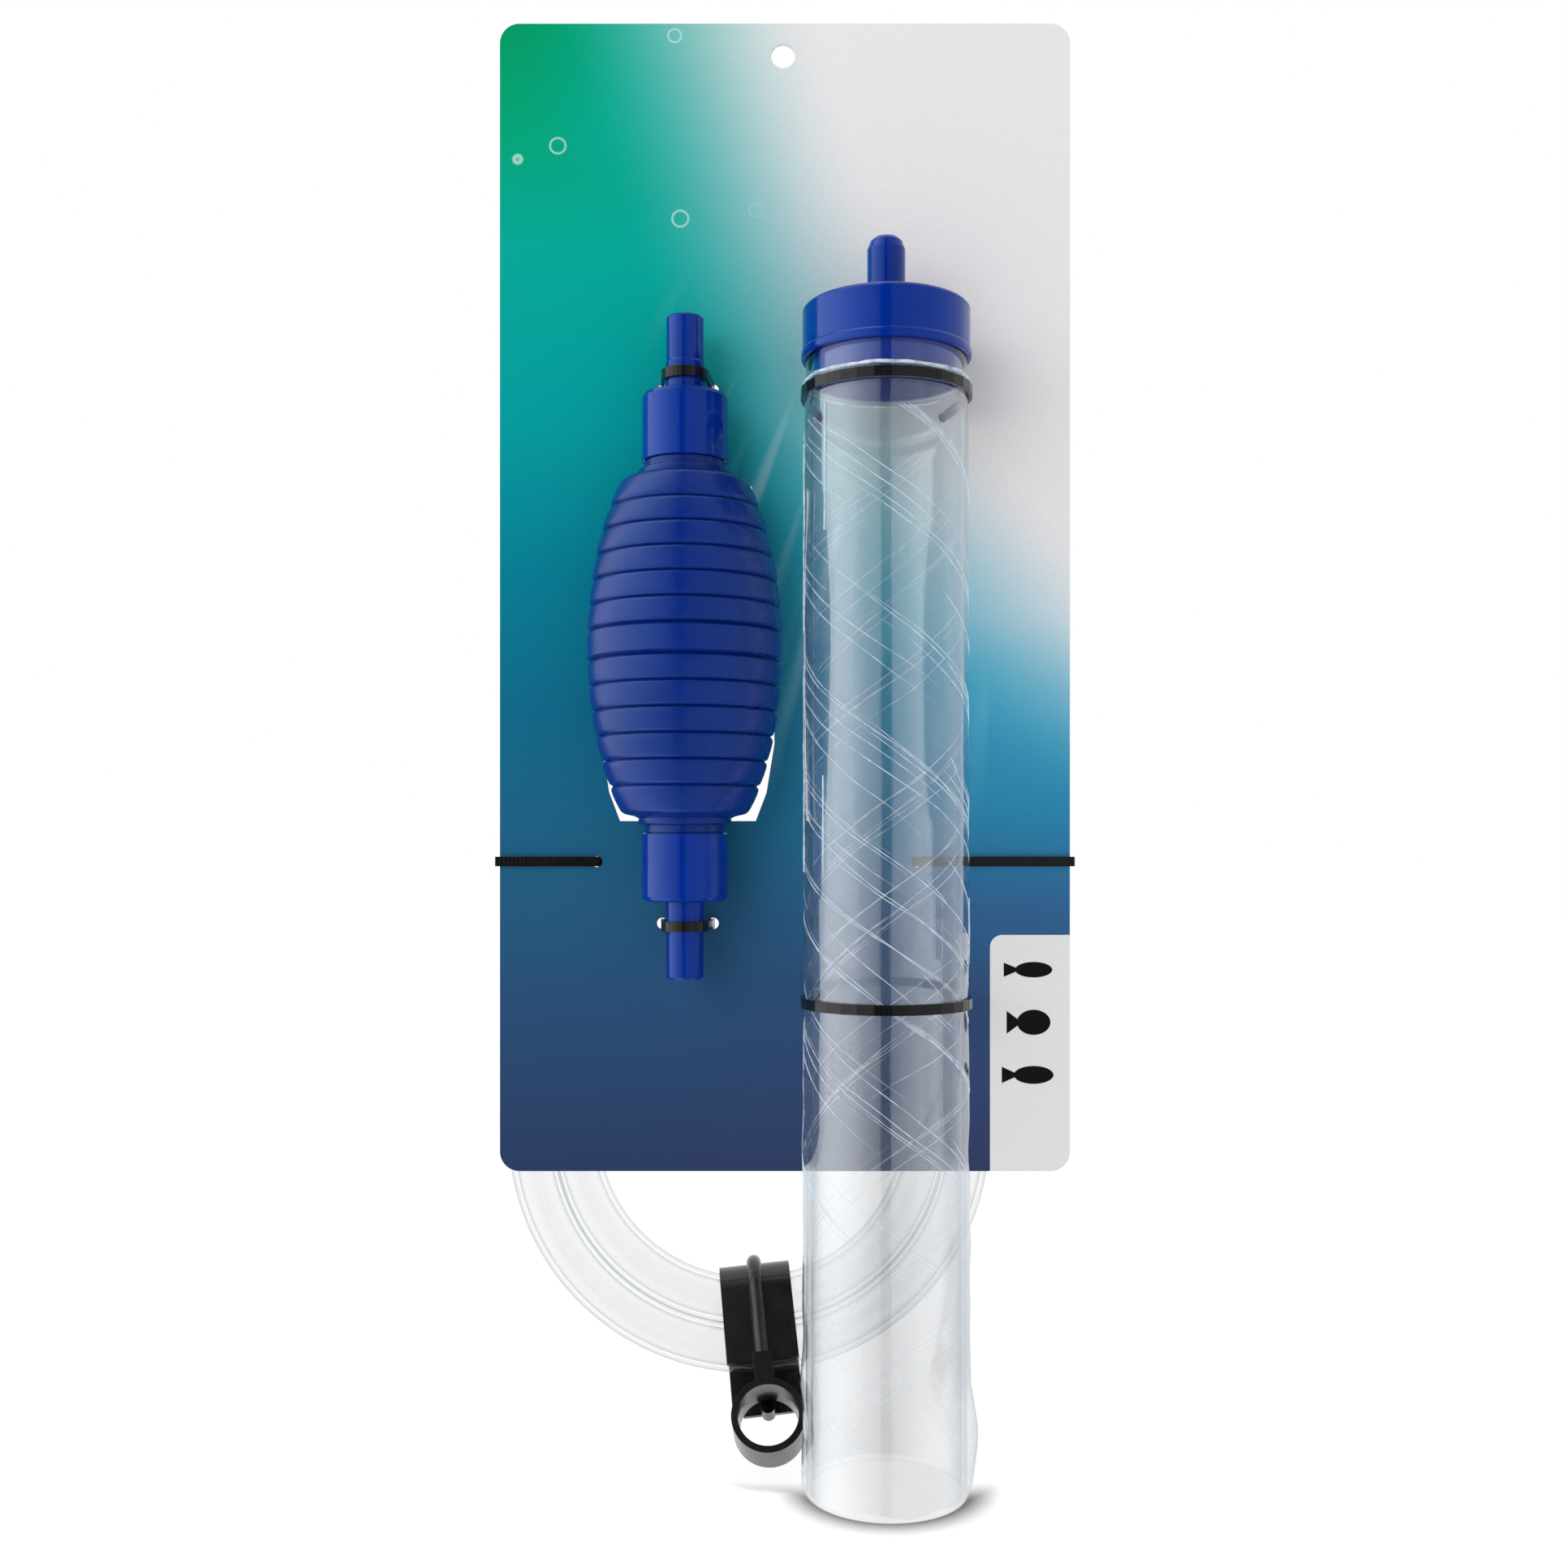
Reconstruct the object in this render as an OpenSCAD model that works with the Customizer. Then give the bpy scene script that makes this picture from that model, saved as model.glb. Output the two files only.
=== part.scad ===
// Aquarium gravel vacuum siphon, held upright on its hang card.
// Origin: centre of the gravel tube's mouth. +Z runs up the tube, -Y is the front, +X is to the right.

/* [Gravel tube] */
// Outer diameter of the clear gravel tube
tube_od = 50.8; // [50:0.1:51.5]
// Wall thickness of the gravel tube
tube_wall = 1.6; // [1.2:0.1:2.2]
// Length of the gravel tube from its mouth to the end inside the cap
tube_length = 370.5; // [366:0.5:374]

/* [Tube cap] */
// Height of the cap's skirt over the tube
cap_height = 16.5; // [14:0.5:20]
// Wall of the skirt at its lower rim
cap_wall = 1.4; // [1.2:0.1:1.8]
// Depth that the cap's inner plug reaches down into the tube
plug_depth = 21; // [12:0.5:28]
// Length of the hose nozzle above the cap's top
cap_nozzle_length = 22; // [18:0.5:26]

/* [Hose and nozzles] */
// Outer diameter of the clear hose
hose_od = 16; // [15.5:0.1:16.2]
// Inner diameter of the clear hose
hose_id = 12; // [11.4:0.1:12.4]
// Radius of the outer turn of the coil, to the hose's centre line
coil_radius = 73.6; // [73.4:0.1:74.2]
// Height of the coil's bottom arc centre above the tube's mouth
coil_bottom_z = 106.4; // [104:0.2:112]
// Height of the coil's top arc centre above the tube's mouth
coil_top_z = 267; // [255:1:268]

/* [Squeeze bulb] */
// Greatest radius of the bulb
bulb_radius = 31.2; // [29:0.1:31.4]
// Half-length of the ribbed body
bulb_half = 53.75; // [52:0.25:54]
// Height of the middle rib
middle_rib = 9.5; // [8:0.1:10]
// Height of the other ribs
rib = 8; // [7.6:0.1:8.2]
// Wall thickness of the bulb
bulb_wall = 2.4; // [2:0.1:3]

/* [Valve housings] */
// Outer diameter of a valve housing
housing_od = 27.8; // [27.4:0.1:28.4]
// Length of a valve housing without its nozzle
housing_length = 22; // [21:0.5:24]
// Length of the nozzle on a valve housing
nozzle_length = 25; // [24:0.5:28]
// Distance that a valve disc lifts off its seat
disc_lift = 2.5; // [1.5:0.1:2.6]

/* [Hose clip] */
// Width of the clip
clip_width = 24; // [20:0.5:26]
// Thickness of the clip's plates
clip_plate = 2; // [1.6:0.1:2.2]
// Outer diameter of the clip's ring
ring_od = 24; // [23:0.1:25]
// Inner diameter of the clip's ring
ring_id = 19.7; // [19:0.1:20.2]
// Depth of the clip's ring
ring_depth = 15.6; // [12:0.2:16]

/* [Hang card] */
// Width of the card
card_width = 189.6; // [188:0.2:192]
// Height of the card
card_height = 381.7; // [376:0.5:386]
// Thickness of the card
card_thickness = 1.2; // [0.8:0.1:1.4]
// Radius of the card's corners
card_corner = 6.5; // [4:0.5:10]
// Diameter of the hang hole
hang_hole_d = 8; // [6:0.5:10]

/* [Cable ties] */
// Width of the straps
tie_width = 3.2; // [2.5:0.1:3.4]
// Thickness of the straps
tie_thickness = 1.1; // [0.9:0.1:1.2]

/* [Hidden] */
$fn = 96;

cap_colour = [0.10, 0.22, 0.66];
bulb_colour = [0.15, 0.19, 0.56];
clear_colour = [0.86, 0.92, 0.95, 0.4];
black_colour = [0.05, 0.05, 0.06];
card_colour = [0.10, 0.45, 0.62];
rubber_colour = [0.16, 0.16, 0.17];
seat_colour = [0.88, 0.89, 0.90];

running_gap = 0.1;
seat_gap = 0.05;
tie_edge_gap = 0.3;
tie_card_gap = 0.2;
tube_r = tube_od / 2;
tube_bore_r = tube_r - tube_wall;

// cap
cap_roof_thickness = 2.2;
tube_end_gap = 0.3;
cap_roof = tube_length + tube_end_gap;
cap_top = cap_roof + cap_roof_thickness;
cap_bottom = cap_top - cap_height;
cap_bore_r = tube_r + running_gap;
cap_rim_r = cap_bore_r + cap_wall;
cap_rim_height = 2.2;
cap_rim_bevel = 0.3;
cap_top_r = cap_rim_r - 0.4;
cap_edge = 1.2;
plug_wall = 1.5;
plug_r = tube_bore_r - 0.15;
boss_r = 11;
boss_height = 3;
nozzle_tip_r = 6.05;
nozzle_root_r = 6.3;
nozzle_bore_r = 4.6;
nozzle_mouth_r = 3.4;

// film wrapped round the tube, and the card behind it, which the cap's rim just clears
film_inner_r = tube_r + running_gap;
film_thickness = 0.25;
film_outer_r = film_inner_r + film_thickness;
film_top = 348.7;
card_front = cap_rim_r + running_gap;
card_back = card_front + card_thickness;
card_left = -126.8;
card_right = card_left + card_width;
card_bottom = 95;
card_top = card_bottom + card_height;
hang_hole = [-32.6, card_top - 10.8];

// bulb and its valves, along the bulb's own axis from its middle outwards
bulb_x = -64.3;
neck_wide_r = 15;
bulb_y = card_front - running_gap - neck_wide_r;
bulb_z = 267.2;
bulb_stretch = 70.7;
ribs_per_side = 6;
rib_proud = 0.25;
rib_groove = 1;
neck_length = 6.05;
neck_collar = 3.2;
neck_narrow_r = 13;
neck_grip = 10;
neck_bore_r = 9.6;
housing_start = bulb_half + neck_length;
housing_end = housing_start + housing_length;
housing_wall = 1.7;
housing_bore_r = housing_od / 2 - housing_wall;
neck_plug_r = housing_bore_r - running_gap;
gasket_thickness = 1.5;
gasket_bore_r = 9.2;
seat_thickness = 2;
neck_end = housing_start + neck_grip;
gasket_start = neck_end + seat_gap;
seat_start = gasket_start + gasket_thickness + seat_gap;
seat_end = seat_start + seat_thickness;
housing_floor = housing_end - 2.2;
housing_edge = 1.6;
nozzle_step = 10;
shoulder_r = housing_bore_r - 1.2;
disc_r = 8.6;
disc_thickness = 1.2;
peg_r = 1.5;
peg_head_r = 2.4;
peg_head = 1.1;
flow_holes = 6;
flow_hole_r = 1.8;
flow_ring_r = 5.4;

// hose coil: two turns in parallel planes, joined over the top by an arch that steps back.
// The arch's slope is an exact right triangle, so that its ends meet the legs without a sliver.
hose_r = hose_od / 2;
hose_bore_r = hose_id / 2;
coil_x = -44.1;
arch_radius = 67.1875;
arch_slope = [0.99712, 0.07584];
arch_span = 2 * arch_radius * arch_slope;
inner_coil_radius = arch_span.x - coil_radius;
outer_turn_y = card_back + tie_card_gap + tie_thickness + tie_edge_gap + hose_r;
inner_turn_y = outer_turn_y + arch_span.y;
arch_middle = [
    coil_x - coil_radius + arch_span.x / 2,
    outer_turn_y + arch_span.y / 2,
    coil_top_z
];
turn_spacing = norm([coil_radius - inner_coil_radius, arch_span.y]);
coil_lean = atan2(arch_span.y, coil_radius - inner_coil_radius);
outer_end_z = 300;
inner_end_z = 256;

// clip, in its own frame: hoses one above the other, slot open downwards
clip_slot_r = hose_r + 1.35;
clip_outer_r = clip_slot_r + clip_plate;
clip_front_drop = 17.8;
clip_back_drop = 28.8;
clip_corner = 3.6;
rib_r = 2.5;
rib_offset = clip_outer_r + 0.6;
rib_bend = 100;
rib_overlap = 1;
neck_width = 6.4;
neck_top = 2 - clip_front_drop;
neck_into_ring = 3;
ring_drop = 36.8;
clip_face = rib_offset + rib_r;
clip_peg_r = 2.45;
clip_peg_length = 6;
clip_peg_raise = 0.8;
clip_turn = 3;
clip_twist = 3.5;
// The turns bow inwards over the clip's width, so the clip sits this far off their middle
clip_shift = [0, -0.4, 0.85];

// cable ties
upper_tube_tie_z = 345.8;
lower_tube_tie_z = 154;
upper_nozzle_tie_z = 355;
lower_nozzle_tie_z = 177.4;
side_tie_z = 198;
tube_tie_hole = 21;
nozzle_tie_hole = 8.4;
left_tie_hole = -94.6;
right_tie_hole = 11.9;
tie_hole_r = 1.9;
tie_back = card_back + tie_card_gap + tie_thickness / 2;
tie_front = card_front - 0.15 - tie_thickness / 2;
tie_head = [5, 4.5, 4.8];
tie_slack = 0.25;
side_head_back = 1.6;
arc_step = 12;

// ---- shared shapes ----

// A solid turned from an outline of [radius, height] points
module turned(outline) {
    rotate_extrude() polygon(outline);
}

module ring_solid(outer_r, inner_r, height) {
    difference() {
        cylinder(r = outer_r, h = height);
        translate([0, 0, -1]) cylinder(r = inner_r, h = height + 2);
    }
}

// Puts children on the bulb's axis, standing on its middle; side = 1 faces up, -1 faces down
module on_bulb(side = 1) {
    translate([bulb_x, bulb_y, bulb_z]) mirror([0, 0, side < 0 ? 1 : 0]) children();
}

// ---- gravel tube and cap ----

module gravel_tube() {
    color(clear_colour) ring_solid(tube_r, tube_bore_r, tube_length);
}

module tube_cap() {
    tip = cap_top + cap_nozzle_length;
    color(cap_colour) turned([
        [cap_bore_r, cap_bottom],
        [cap_rim_r - cap_rim_bevel, cap_bottom],
        [cap_rim_r, cap_bottom + 2 * cap_rim_bevel],
        [cap_rim_r, cap_bottom + cap_rim_height],
        [cap_top_r, cap_bottom + cap_rim_height + 2 * cap_rim_bevel],
        [cap_top_r, cap_top - cap_edge],
        [cap_top_r - 0.4 * cap_edge, cap_top - 0.4 * cap_edge],
        [cap_top_r - cap_edge, cap_top],
        [nozzle_root_r, cap_top],
        [nozzle_tip_r, cap_top + 4],
        [nozzle_tip_r, tip - 3.6],
        [nozzle_tip_r - 0.9, tip - 1.1],
        [nozzle_tip_r - 2, tip],
        [nozzle_mouth_r, tip],
        [nozzle_mouth_r, tip - 3],
        [nozzle_bore_r, tip - 6],
        [nozzle_bore_r, cap_roof - boss_height],
        [boss_r, cap_roof - boss_height],
        [boss_r, cap_roof],
        [plug_r - plug_wall, cap_roof],
        [plug_r - plug_wall, cap_roof - plug_depth],
        [plug_r, cap_roof - plug_depth],
        [plug_r, cap_roof],
        [cap_bore_r, cap_roof]
    ]);
}

// ---- squeeze bulb and valves ----

// Smooth outer shape of the bulb at a distance from its middle
function bulb_envelope(s) = bulb_radius * sqrt(1 - pow(s / bulb_stretch, 2));

// Distances of the rib edges from the middle, on one side
rib_edges = concat([for (k = [0 : ribs_per_side - 1]) middle_rib / 2 + k * rib], [bulb_half]);

// One rib's outline as [fraction of its height, offset from the smooth shape]: rounded at its inner end
rib_shape = [
    [0, -rib_groove], [0.05, -rib_groove / 2], [0.14, 0.05],
    [0.3, rib_proud], [0.6, 0.15], [0.93, -0.1]
];

// The middle rib is the same on both sides, so only its belly is listed here
middle_rib_shape = [0.3, 0.8];

// The half outline of the ribbed body, from the middle outwards
half_outline = concat(
    [for (f = middle_rib_shape)
        [bulb_envelope(f * middle_rib / 2) + rib_proud, f * middle_rib / 2]],
    [for (k = [0 : ribs_per_side - 1], p = rib_shape)
        let (s = rib_edges[k] + p[0] * (rib_edges[k + 1] - rib_edges[k]))
        [bulb_envelope(s) + p[1], s]]
);

// The half outline of the hollow, from the neck back to the middle
hollow_steps = 9;
half_hollow = [for (k = [hollow_steps : -1 : 0])
    let (s = k / hollow_steps * (bulb_half - bulb_wall))
    [bulb_envelope(s) - rib_groove - bulb_wall, s]];

neck_outline = [
    [bulb_envelope(bulb_half) - 0.9, bulb_half],
    [neck_wide_r, bulb_half + 1],
    [neck_wide_r, bulb_half + neck_collar],
    [neck_narrow_r, bulb_half + neck_collar + 0.6],
    [neck_narrow_r, housing_start - 0.2],
    [neck_plug_r, housing_start - 0.2],
    [neck_plug_r, neck_end],
    [neck_bore_r, neck_end],
    [neck_bore_r, bulb_half - bulb_wall]
];

function flipped(points) = [for (k = [len(points) - 1 : -1 : 0]) [points[k].x, -points[k].y]];

module squeeze_bulb() {
    outer_points = concat(half_outline, neck_outline);
    color(bulb_colour) on_bulb() turned(concat(
        flipped(outer_points), outer_points, half_hollow, flipped(half_hollow)
    ));
}

module valve_housing() {
    tip = housing_end + nozzle_length;
    turned([
        [housing_bore_r, housing_start],
        [housing_od / 2 - 0.3, housing_start],
        [housing_od / 2, housing_start + 0.3],
        [housing_od / 2, housing_end - housing_edge],
        [housing_od / 2 - 0.3 * housing_edge, housing_end - 0.3 * housing_edge],
        [housing_od / 2 - housing_edge, housing_end],
        [nozzle_root_r, housing_end],
        [nozzle_root_r, housing_end + nozzle_step],
        [nozzle_tip_r, housing_end + nozzle_step + 0.5],
        [nozzle_tip_r, tip - 0.6],
        [nozzle_tip_r - 0.5, tip],
        [nozzle_bore_r, tip],
        [nozzle_bore_r, housing_floor],
        [shoulder_r, housing_floor],
        [shoulder_r, seat_end + seat_gap],
        [housing_bore_r, seat_end + seat_gap]
    ]);
}

module lower_valve_housing() {
    color(cap_colour) on_bulb(-1) valve_housing();
}

module upper_valve_housing() {
    color(cap_colour) on_bulb(1) valve_housing();
}

// A drilled plate with a headed peg on its downstream side, standing on z = 0
module valve_seat() {
    difference() {
        cylinder(r = neck_plug_r, h = seat_thickness);
        for (k = [0 : flow_holes - 1]) {
            rotate(k * 360 / flow_holes) translate([flow_ring_r, 0, -1])
                cylinder(r = flow_hole_r, h = seat_thickness + 2);
        }
    }
    peg_top = seat_thickness + seat_gap + disc_thickness + disc_lift + seat_gap;
    translate([0, 0, seat_thickness]) cylinder(r = peg_r, h = peg_top - seat_thickness);
    translate([0, 0, peg_top]) cylinder(r = peg_head_r, h = peg_head);
}

module valve_disc() {
    ring_solid(disc_r, peg_r + running_gap, disc_thickness);
}

// Both valves open upwards, so their seats stand the same way up
lower_seat_z = bulb_z - seat_end;
upper_seat_z = bulb_z + seat_start;

module at_valve(z) {
    translate([bulb_x, bulb_y, z]) children();
}

module lower_valve_seat() {
    color(seat_colour) at_valve(lower_seat_z) valve_seat();
}

module upper_valve_seat() {
    color(seat_colour) at_valve(upper_seat_z) valve_seat();
}

module lower_valve_disc() {
    color(rubber_colour) at_valve(lower_seat_z + seat_thickness + seat_gap) valve_disc();
}

module upper_valve_disc() {
    color(rubber_colour) at_valve(upper_seat_z + seat_thickness + seat_gap) valve_disc();
}

module gasket() {
    translate([0, 0, gasket_start]) ring_solid(neck_plug_r, gasket_bore_r, gasket_thickness);
}

module lower_gasket() {
    color(rubber_colour) on_bulb(-1) gasket();
}

module upper_gasket() {
    color(rubber_colour) on_bulb(1) gasket();
}

// ---- hose ----

// A half turn of hose in the XZ plane about the origin; side = 1 arches up, -1 hangs down
module half_turn(radius, side) {
    rotate([side * 90, 0, 0]) rotate_extrude(angle = 180) translate([radius, 0]) difference() {
        circle(r = hose_r);
        circle(r = hose_bore_r);
    }
}

module leg(x, y, top) {
    translate([x, y, coil_bottom_z]) ring_solid(hose_r, hose_bore_r, top - coil_bottom_z);
}

// From the outer turn's free end on the right: down, round to the left, up, over the top to the right,
// down, and round the inner turn to its free end on the left
module hose() {
    color(clear_colour) {
        leg(coil_x + coil_radius, outer_turn_y, outer_end_z);
        translate([coil_x, outer_turn_y, coil_bottom_z]) half_turn(coil_radius, -1);
        leg(coil_x - coil_radius, outer_turn_y, coil_top_z);
        translate(arch_middle) rotate(atan2(arch_slope.y, arch_slope.x)) half_turn(arch_radius, 1);
        leg(coil_x + inner_coil_radius, inner_turn_y, coil_top_z);
        translate([coil_x, inner_turn_y, coil_bottom_z]) half_turn(inner_coil_radius, -1);
        leg(coil_x - inner_coil_radius, inner_turn_y, inner_end_z);
    }
}

// ---- hose clip ----

// Puts children, drawn in the clip's own frame, on the two hose turns
module on_hose_pair() {
    middle_y = (outer_turn_y + inner_turn_y) / 2;
    middle_radius = (coil_radius + inner_coil_radius) / 2;
    translate([coil_x, middle_y, coil_bottom_z]) rotate([0, -clip_turn, 0])
        translate([0, 0, -middle_radius]) rotate([-coil_lean, 0, 0]) rotate([0, -clip_twist, 0])
            translate(clip_shift) children();
}

module clip_bend() {
    translate([0, 0, turn_spacing / 2]) rotate([90, 0, 90])
        translate([0, 0, -clip_width / 2]) rotate_extrude(angle = 180)
            translate([clip_slot_r, 0]) square([clip_plate, clip_width]);
}

module clip_rib() {
    rib_length = clip_front_drop + turn_spacing / 2 + rib_overlap;
    translate([0, -rib_offset, -clip_front_drop]) cylinder(r = rib_r - 0.1, h = rib_length);
    translate([0, 0, turn_spacing / 2]) rotate([0, -90, 0]) rotate(-90)
        rotate_extrude(angle = rib_bend) translate([rib_offset, 0]) circle(r = rib_r);
}

module clip_back_plate() {
    half = clip_width / 2;
    translate([0, clip_outer_r, 0]) rotate([90, 0, 0]) linear_extrude(clip_plate) polygon([
        [-half, turn_spacing / 2],
        [-half, clip_corner - clip_back_drop],
        [clip_corner - half, -clip_back_drop],
        [half - clip_corner, -clip_back_drop],
        [half, clip_corner - clip_back_drop],
        [half, turn_spacing / 2]
    ]);
}

module clip_front_plate() {
    translate([-clip_width / 2, -clip_outer_r, -clip_front_drop])
        cube([clip_width, clip_plate, clip_front_drop + turn_spacing / 2]);
}

module clip_ring() {
    neck_bottom = ring_od / 2 - neck_into_ring - ring_drop;
    difference() {
        union() {
            translate([0, -clip_face, -ring_drop]) rotate([-90, 0, 0])
                cylinder(r = ring_od / 2, h = ring_depth);
            translate([-neck_width / 2, -clip_face, neck_bottom])
                cube([neck_width, clip_face - clip_slot_r, neck_top - neck_bottom]);
        }
        translate([0, -clip_face - 1, -ring_drop]) rotate([-90, 0, 0])
            cylinder(r = ring_id / 2, h = ring_depth + 2);
    }
}

module clip_peg() {
    translate([0, clip_slot_r - clip_peg_length, clip_peg_raise - clip_back_drop])
        rotate([-90, 0, 0]) cylinder(r = clip_peg_r, h = clip_peg_length + clip_plate);
}

module hose_clip() {
    color(black_colour) on_hose_pair() {
        clip_bend();
        clip_front_plate();
        clip_back_plate();
        clip_rib();
        clip_ring();
        clip_peg();
    }
}

// ---- card and film ----

module card_outline() {
    for (x = [card_left + card_corner, card_right - card_corner]) {
        for (z = [card_bottom + card_corner, card_top - card_corner]) {
            translate([x, z]) circle(r = card_corner);
        }
    }
    translate([card_left, card_bottom + card_corner])
        square([card_width, card_height - 2 * card_corner]);
    translate([card_left + card_corner, card_bottom])
        square([card_width - 2 * card_corner, card_height]);
}

// Window that the belly of the bulb sits in, fuller below the middle, where it shows beside the bulb
module bulb_window() {
    half_height = bulb_half + 2;
    half_width = bulb_radius - 2.6;
    straight = 18;
    upper_end_width = 21.2;
    lower_end_width = 22.6;
    right_side = [
        [lower_end_width, -half_height],
        [half_width - 2.4, -bulb_half * 0.86],
        [half_width + 0.2, -bulb_half * 0.56],
        [half_width, straight],
        [upper_end_width, half_height]
    ];
    left_side = [for (i = [len(right_side) - 1 : -1 : 0]) [-right_side[i].x, right_side[i].y]];
    translate([bulb_x, bulb_z]) polygon(concat(right_side, left_side));
}

tie_holes = [
    for (z = [upper_tube_tie_z, lower_tube_tie_z], side = [-1, 1]) [side * tube_tie_hole, z],
    for (z = [upper_nozzle_tie_z, lower_nozzle_tie_z], side = [-1, 1])
        [bulb_x + side * nozzle_tie_hole, z],
    [left_tie_hole, side_tie_z],
    [right_tie_hole, side_tie_z]
];

module hang_card() {
    color(card_colour) translate([0, card_back, 0]) rotate([90, 0, 0]) difference() {
        linear_extrude(card_thickness) card_outline();
        translate([0, 0, -1]) linear_extrude(card_thickness + 2) bulb_window();
        translate([hang_hole.x, hang_hole.y, -1])
            cylinder(d = hang_hole_d, h = card_thickness + 2);
        for (hole = tie_holes) {
            translate([hole.x, hole.y, -1]) cylinder(r = tie_hole_r, h = card_thickness + 2);
        }
    }
}

module film_sleeve() {
    color(clear_colour) ring_solid(film_outer_r, film_inner_r, film_top);
}

// ---- cable ties ----

function unit(v) = v / norm(v);
function left_of(a, b) = let (d = unit(b - a)) [-d.y, d.x];

// A closed path moved to its left by a distance, with mitred corners
function moved_left(path, distance) = [for (i = [0 : len(path) - 1])
    let (
        count = len(path),
        before = left_of(path[(i + count - 1) % count], path[i]),
        after = left_of(path[i], path[(i + 1) % count]),
        middle = unit(before + after)
    )
    path[i] + middle * distance / (middle * before)];

function arc(centre, radius, from, to) = let (steps = ceil((to - from) / arc_step))
    [for (i = [0 : steps])
        let (angle = from + (to - from) * i / steps)
        centre + radius * [cos(angle), sin(angle)]];

// Where a line from a point touches a circle, as the angle on the circle; side = 1 or -1 picks the line
function touch_angle(point, centre, radius, side) = let (d = point - centre)
    atan2(d.y, d.x) + side * acos(radius / norm(d));

module strap(path, z) {
    translate([0, 0, z - tie_width / 2]) linear_extrude(tie_width) difference() {
        polygon(moved_left(path, -tie_thickness / 2));
        polygon(moved_left(path, tie_thickness / 2));
    }
}

// A tie round an upright cylinder in front of the card, closed behind the card
module loop_tie(centre, radius, hole, z) {
    mid_r = radius + tie_slack + tie_thickness / 2;
    right_hole = [centre.x + hole, card_front];
    right_touch = touch_angle(right_hole, centre, mid_r, -1);
    strap(concat(
        arc(centre, mid_r, 180 - right_touch, 360 + right_touch),
        [right_hole, [centre.x + hole, tie_back], [centre.x - hole, tie_back],
            [centre.x - hole, card_front]]
    ), z);
    translate([centre.x - tie_head.x / 2, tie_back, z - tie_head.z / 2]) cube(tie_head);
}

module upper_tube_tie() {
    color(black_colour) loop_tie([0, 0], film_outer_r, tube_tie_hole, upper_tube_tie_z);
}

module lower_tube_tie() {
    color(black_colour) loop_tie([0, 0], film_outer_r, tube_tie_hole, lower_tube_tie_z);
}

module upper_nozzle_tie() {
    color(black_colour)
        loop_tie([bulb_x, bulb_y], nozzle_root_r, nozzle_tie_hole, upper_nozzle_tie_z);
}

module lower_nozzle_tie() {
    color(black_colour)
        loop_tie([bulb_x, bulb_y], nozzle_root_r, nozzle_tie_hole, lower_nozzle_tie_z);
}

// A tie from a hole in the card round both hose turns and back over the card's edge.
// It is drawn to the right of the coil's middle; edge and hole are distances from that middle.
module side_tie(edge, hole) {
    wrap_r = hose_r + 2 * tie_edge_gap + tie_thickness / 2;
    outer_hose = [coil_radius, outer_turn_y];
    inner_hose = [inner_coil_radius, inner_turn_y];
    edge_x = edge + tie_edge_gap + tie_thickness / 2;
    edge_point = [edge_x, card_back + 1];
    hole_point = [hole, card_back + 0.2];
    shared = 90 - coil_lean;
    outer_touch = touch_angle(edge_point, outer_hose, wrap_r, 1);
    wraps_outer = outer_touch < shared;
    inner_touch = wraps_outer ? shared : touch_angle(edge_point, inner_hose, wrap_r, 1);
    last_touch = 360 + touch_angle(hole_point, inner_hose, wrap_r, -1);
    strap(concat(
        [[hole, tie_front], [edge_x, tie_front], edge_point],
        wraps_outer ? arc(outer_hose, wrap_r, outer_touch, shared) : [],
        arc(inner_hose, wrap_r, inner_touch, last_touch),
        [hole_point]
    ), side_tie_z);
    translate([
        hole - tie_edge_gap - tie_head.x,
        card_back + side_head_back,
        side_tie_z - tie_head.z / 2
    ]) cube(tie_head);
}

module left_side_tie() {
    color(black_colour) translate([coil_x, 0, 0]) mirror([1, 0, 0])
        side_tie(coil_x - card_left, coil_x - left_tie_hole);
}

module right_side_tie() {
    color(black_colour) translate([coil_x, 0, 0])
        side_tie(card_right - coil_x, right_tie_hole - coil_x);
}

gravel_tube();
tube_cap();
squeeze_bulb();
lower_valve_housing();
upper_valve_housing();
lower_valve_seat();
upper_valve_seat();
lower_valve_disc();
upper_valve_disc();
lower_gasket();
upper_gasket();
hose();
hose_clip();
hang_card();
film_sleeve();
upper_tube_tie();
lower_tube_tie();
upper_nozzle_tie();
lower_nozzle_tie();
left_side_tie();
right_side_tie();
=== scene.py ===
import math
import random

import bmesh
import bpy
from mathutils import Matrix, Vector, noise


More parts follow.
